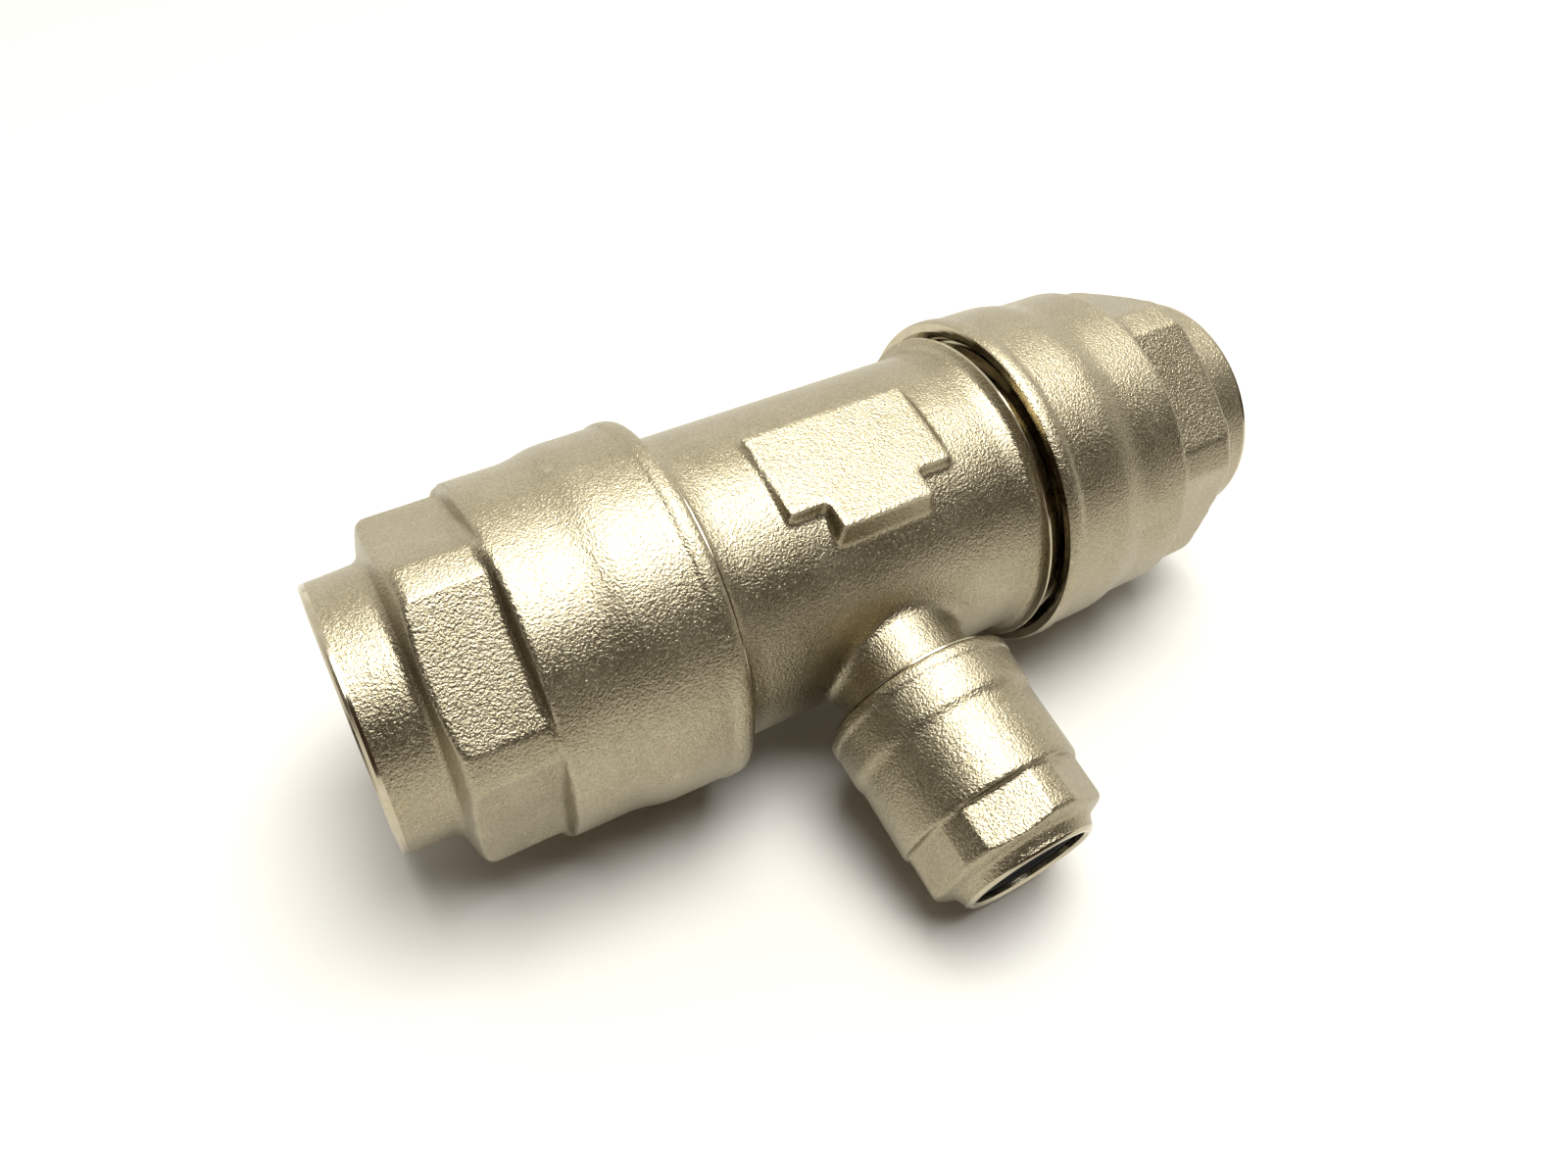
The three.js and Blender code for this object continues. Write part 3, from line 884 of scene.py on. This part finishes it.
def make_spacer_ring(port):
    """A moulded ring whose conical seat keeps the teeth from turning over."""
    near, far, inner, outer = measured(f"{port}_spacer_ring", port)
    wall, width = outer - inner, far - near
    edge = 0.05 * wall
    spacer = turned(f"{port}_spacer", [
        (near + edge, inner), (near + 0.45 * width, inner), (near + 0.5 * width, inner + edge),
        (far - edge, inner + 0.66 * wall), (far, inner + 0.72 * wall), (far, outer - edge),
        (far - edge, outer), (near + edge, outer), (near, outer - edge), (near, inner + edge)],
        finish("acetal"))
    return settled(spacer, port_matrix(port), "tee", f"{port}_spacer_ring")


def make_seal(port, node, name):
    """An O-ring with the fine flash line that its mould leaves."""
    near, far, inner, outer = measured(node, port)
    section = (outer - inner) / 2
    middle = ((near + far) / 2, inner + section)
    flash = 0.04 * section
    line = arc(middle, section - flash, 95, 445, 24)
    line.append((middle[0], outer))
    seal = turned(name, line, finish("rubber"))
    return settled(seal, port_matrix(port), "tee", node)


# ---------------------------------------------------------------- operators

class FITTING_OT_tee_body(Operator):
    """Forge and machine the tee's body"""

    bl_idname = "fitting.tee_body"
    bl_label = "Tee body"

    def execute(self, context):
        make_body()
        return {"FINISHED"}


class FITTING_OT_nuts(Operator):
    """Forge and machine the three hexagon nuts"""

    bl_idname = "fitting.nuts"
    bl_label = "Hexagon nuts"

    def execute(self, context):
        for port in PORTS:
            make_nut(port, getattr(settings(), f"{port}_turn"))
        return {"FINISHED"}


class FITTING_OT_guide_bushes(Operator):
    """Mould the guide bush of each port"""

    bl_idname = "fitting.guide_bushes"
    bl_label = "Guide bushes"

    def execute(self, context):
        for port in PORTS:
            make_guide_bush(port)
        return {"FINISHED"}


class FITTING_OT_backing_washers(Operator):
    """Stamp the backing washer of each port"""

    bl_idname = "fitting.backing_washers"
    bl_label = "Backing washers"

    def execute(self, context):
        for port in PORTS:
            make_backing_washer(port)
        return {"FINISHED"}


class FITTING_OT_grip_rings(Operator):
    """Stamp and slot the grip ring of each port"""

    bl_idname = "fitting.grip_rings"
    bl_label = "Grip rings"
    run_teeth: IntProperty(name="Run teeth", description="Teeth on a run port's ring", default=18)
    branch_teeth: IntProperty(name="Branch teeth", description="Teeth on the branch's ring", default=12)

    def execute(self, context):
        for port in PORTS:
            make_grip_ring(port, self.branch_teeth if port == "branch" else self.run_teeth)
        return {"FINISHED"}


class FITTING_OT_spacer_rings(Operator):
    """Mould the spacer ring of each port"""

    bl_idname = "fitting.spacer_rings"
    bl_label = "Spacer rings"

    def execute(self, context):
        for port in PORTS:
            make_spacer_ring(port)
        return {"FINISHED"}


class FITTING_OT_seals(Operator):
    """Mould the tube seal and the nut seal of each port"""

    bl_idname = "fitting.seals"
    bl_label = "Seals"

    def execute(self, context):
        for port in PORTS:
            make_seal(port, f"{port}_tube_seal", f"{port}_inner_o_ring")
            make_seal(port, f"{port}_nut_seal", f"{port}_outer_o_ring")
        return {"FINISHED"}


class FITTING_OT_stage(Operator):
    """Lay the pale floor, hang the soft light and stand the camera"""

    bl_idname = "fitting.stage"
    bl_label = "Stage"
    lens: FloatProperty(name="Lens", description="Focal length", default=26.47, unit="CAMERA")

    def execute(self, context):
        lay_floor()
        hang_lamp()
        paint_surroundings()
        stand_camera(self.lens)
        return {"FINISHED"}


# ---------------------------------------------------------------- stage

def lay_floor():
    bpy.ops.object.select_all(action="DESELECT")
    bpy.ops.mesh.primitive_plane_add(size=6.0, location=(0, 0, 0))
    floor = bpy.context.object
    floor.name = "floor"
    material, nodes, shader = new_material("floor")
    place = nodes.add("ShaderNodeTexCoord").outputs["Object"]
    cloud = nodes.noise(place, 0.4, detail=3.0)
    shade = rgba([0.97 * channel for channel in settings().floor])
    nodes.feed(shader.inputs["Base Color"], nodes.mix(cloud, rgba(settings().floor), shade))
    shader.inputs["Roughness"].default_value = 0.7
    floor.data.materials.append(material)


LAMP_PLACE = (0.26, -0.16, 1.9)
LAMP_SIZE = (1.4, 1.2)
LAMP_POWER = 55.0
LAMP_TINT = (1.0, 0.995, 0.965)


def hang_lamp():
    """One large soft lamp overhead, aimed at the fitting."""
    light = bpy.data.lights.new("ceiling", "AREA")
    light.shape = "RECTANGLE"
    light.size, light.size_y = LAMP_SIZE
    light.energy = LAMP_POWER
    light.color = LAMP_TINT
    lamp = bpy.data.objects.new("ceiling", light)
    lamp.location = LAMP_PLACE
    lamp.rotation_euler = (-Vector(LAMP_PLACE)).to_track_quat("-Z", "Y").to_euler()
    bpy.context.scene.collection.objects.link(lamp)


DARK_WALL, PALE_WALL = (0.07, 0.042, 0.026), (1.42, 1.38, 1.26)
DARK_CEILING, PALE_CEILING = (0.06, 0.04, 0.028), (1.05, 1.02, 0.93)


def paint_surroundings():
    """A warm room: brown towards the front left, pale grey behind, to the right and overhead."""
    world = bpy.data.worlds.new("room")
    bpy.context.scene.world = world
    world.use_nodes = True
    nodes = Nodes(world.node_tree)
    background = world.node_tree.nodes["Background"]
    ray = nodes.add("ShaderNodeTexCoord").outputs["Generated"]
    parts = nodes.add("ShaderNodeSeparateXYZ", {"Vector": ray}).outputs
    away = nodes.maths("ADD", parts["Y"], nodes.maths("MULTIPLY", parts["X"], 0.4))
    backward = nodes.between(away, -0.25, 0.55)
    upward = nodes.between(parts["Z"], 0.12, 0.5)
    wall = nodes.mix(backward, rgba(DARK_WALL), rgba(PALE_WALL))
    ceiling = nodes.mix(backward, rgba(DARK_CEILING), rgba(PALE_CEILING))
    nodes.feed(background.inputs["Color"], nodes.mix(upward, wall, ceiling))
    background.inputs["Strength"].default_value = 1.0


CAMERA_PLACE = (-0.08896, -0.11573, 0.17654)
CAMERA_TURN = (47.038, -1.482, -31.268)  # degrees about X, Y and Z
CAMERA_SHIFT = (-0.0151, -0.0150)


def stand_camera(lens):
    """A close wide view from the front left, looking down at the fitting."""
    camera = bpy.data.cameras.new("camera")
    camera.lens = lens
    camera.sensor_width = 36.0
    camera.shift_x, camera.shift_y = CAMERA_SHIFT
    camera.clip_start, camera.clip_end = 0.01, 20.0
    stand = bpy.data.objects.new("camera", camera)
    stand.location = CAMERA_PLACE
    stand.rotation_euler = [math.radians(turn) for turn in CAMERA_TURN]
    bpy.context.scene.collection.objects.link(stand)
    bpy.context.scene.camera = stand


# ---------------------------------------------------------------- panel and run

OPERATORS = (
    FITTING_OT_tee_body,
    FITTING_OT_nuts,
    FITTING_OT_guide_bushes,
    FITTING_OT_backing_washers,
    FITTING_OT_grip_rings,
    FITTING_OT_spacer_rings,
    FITTING_OT_seals,
    FITTING_OT_stage,
)


class FITTING_PT_sidebar(Panel):
    bl_label = "Reducing tee"
    bl_idname = "FITTING_PT_sidebar"
    bl_space_type = "VIEW_3D"
    bl_region_type = "UI"
    bl_category = "Fitting"

    def draw(self, context):
        for operator in OPERATORS:
            self.layout.operator(operator.bl_idname)


CLASSES = (RunPortSizes, BranchPortSizes, PadSizes, FittingSettings, *OPERATORS, FITTING_PT_sidebar)


def register():
    for item in CLASSES:
        bpy.utils.register_class(item)
    bpy.types.Scene.fitting = PointerProperty(type=FittingSettings)


def unregister():
    del bpy.types.Scene.fitting
    for item in reversed(CLASSES):
        bpy.utils.unregister_class(item)


def main():
    register()
    bpy.context.scene.view_settings.view_transform = "Standard"
    for operator in OPERATORS:
        group, name = operator.bl_idname.split(".")
        getattr(getattr(bpy.ops, group), name)()


if __name__ == "__main__":
    main()
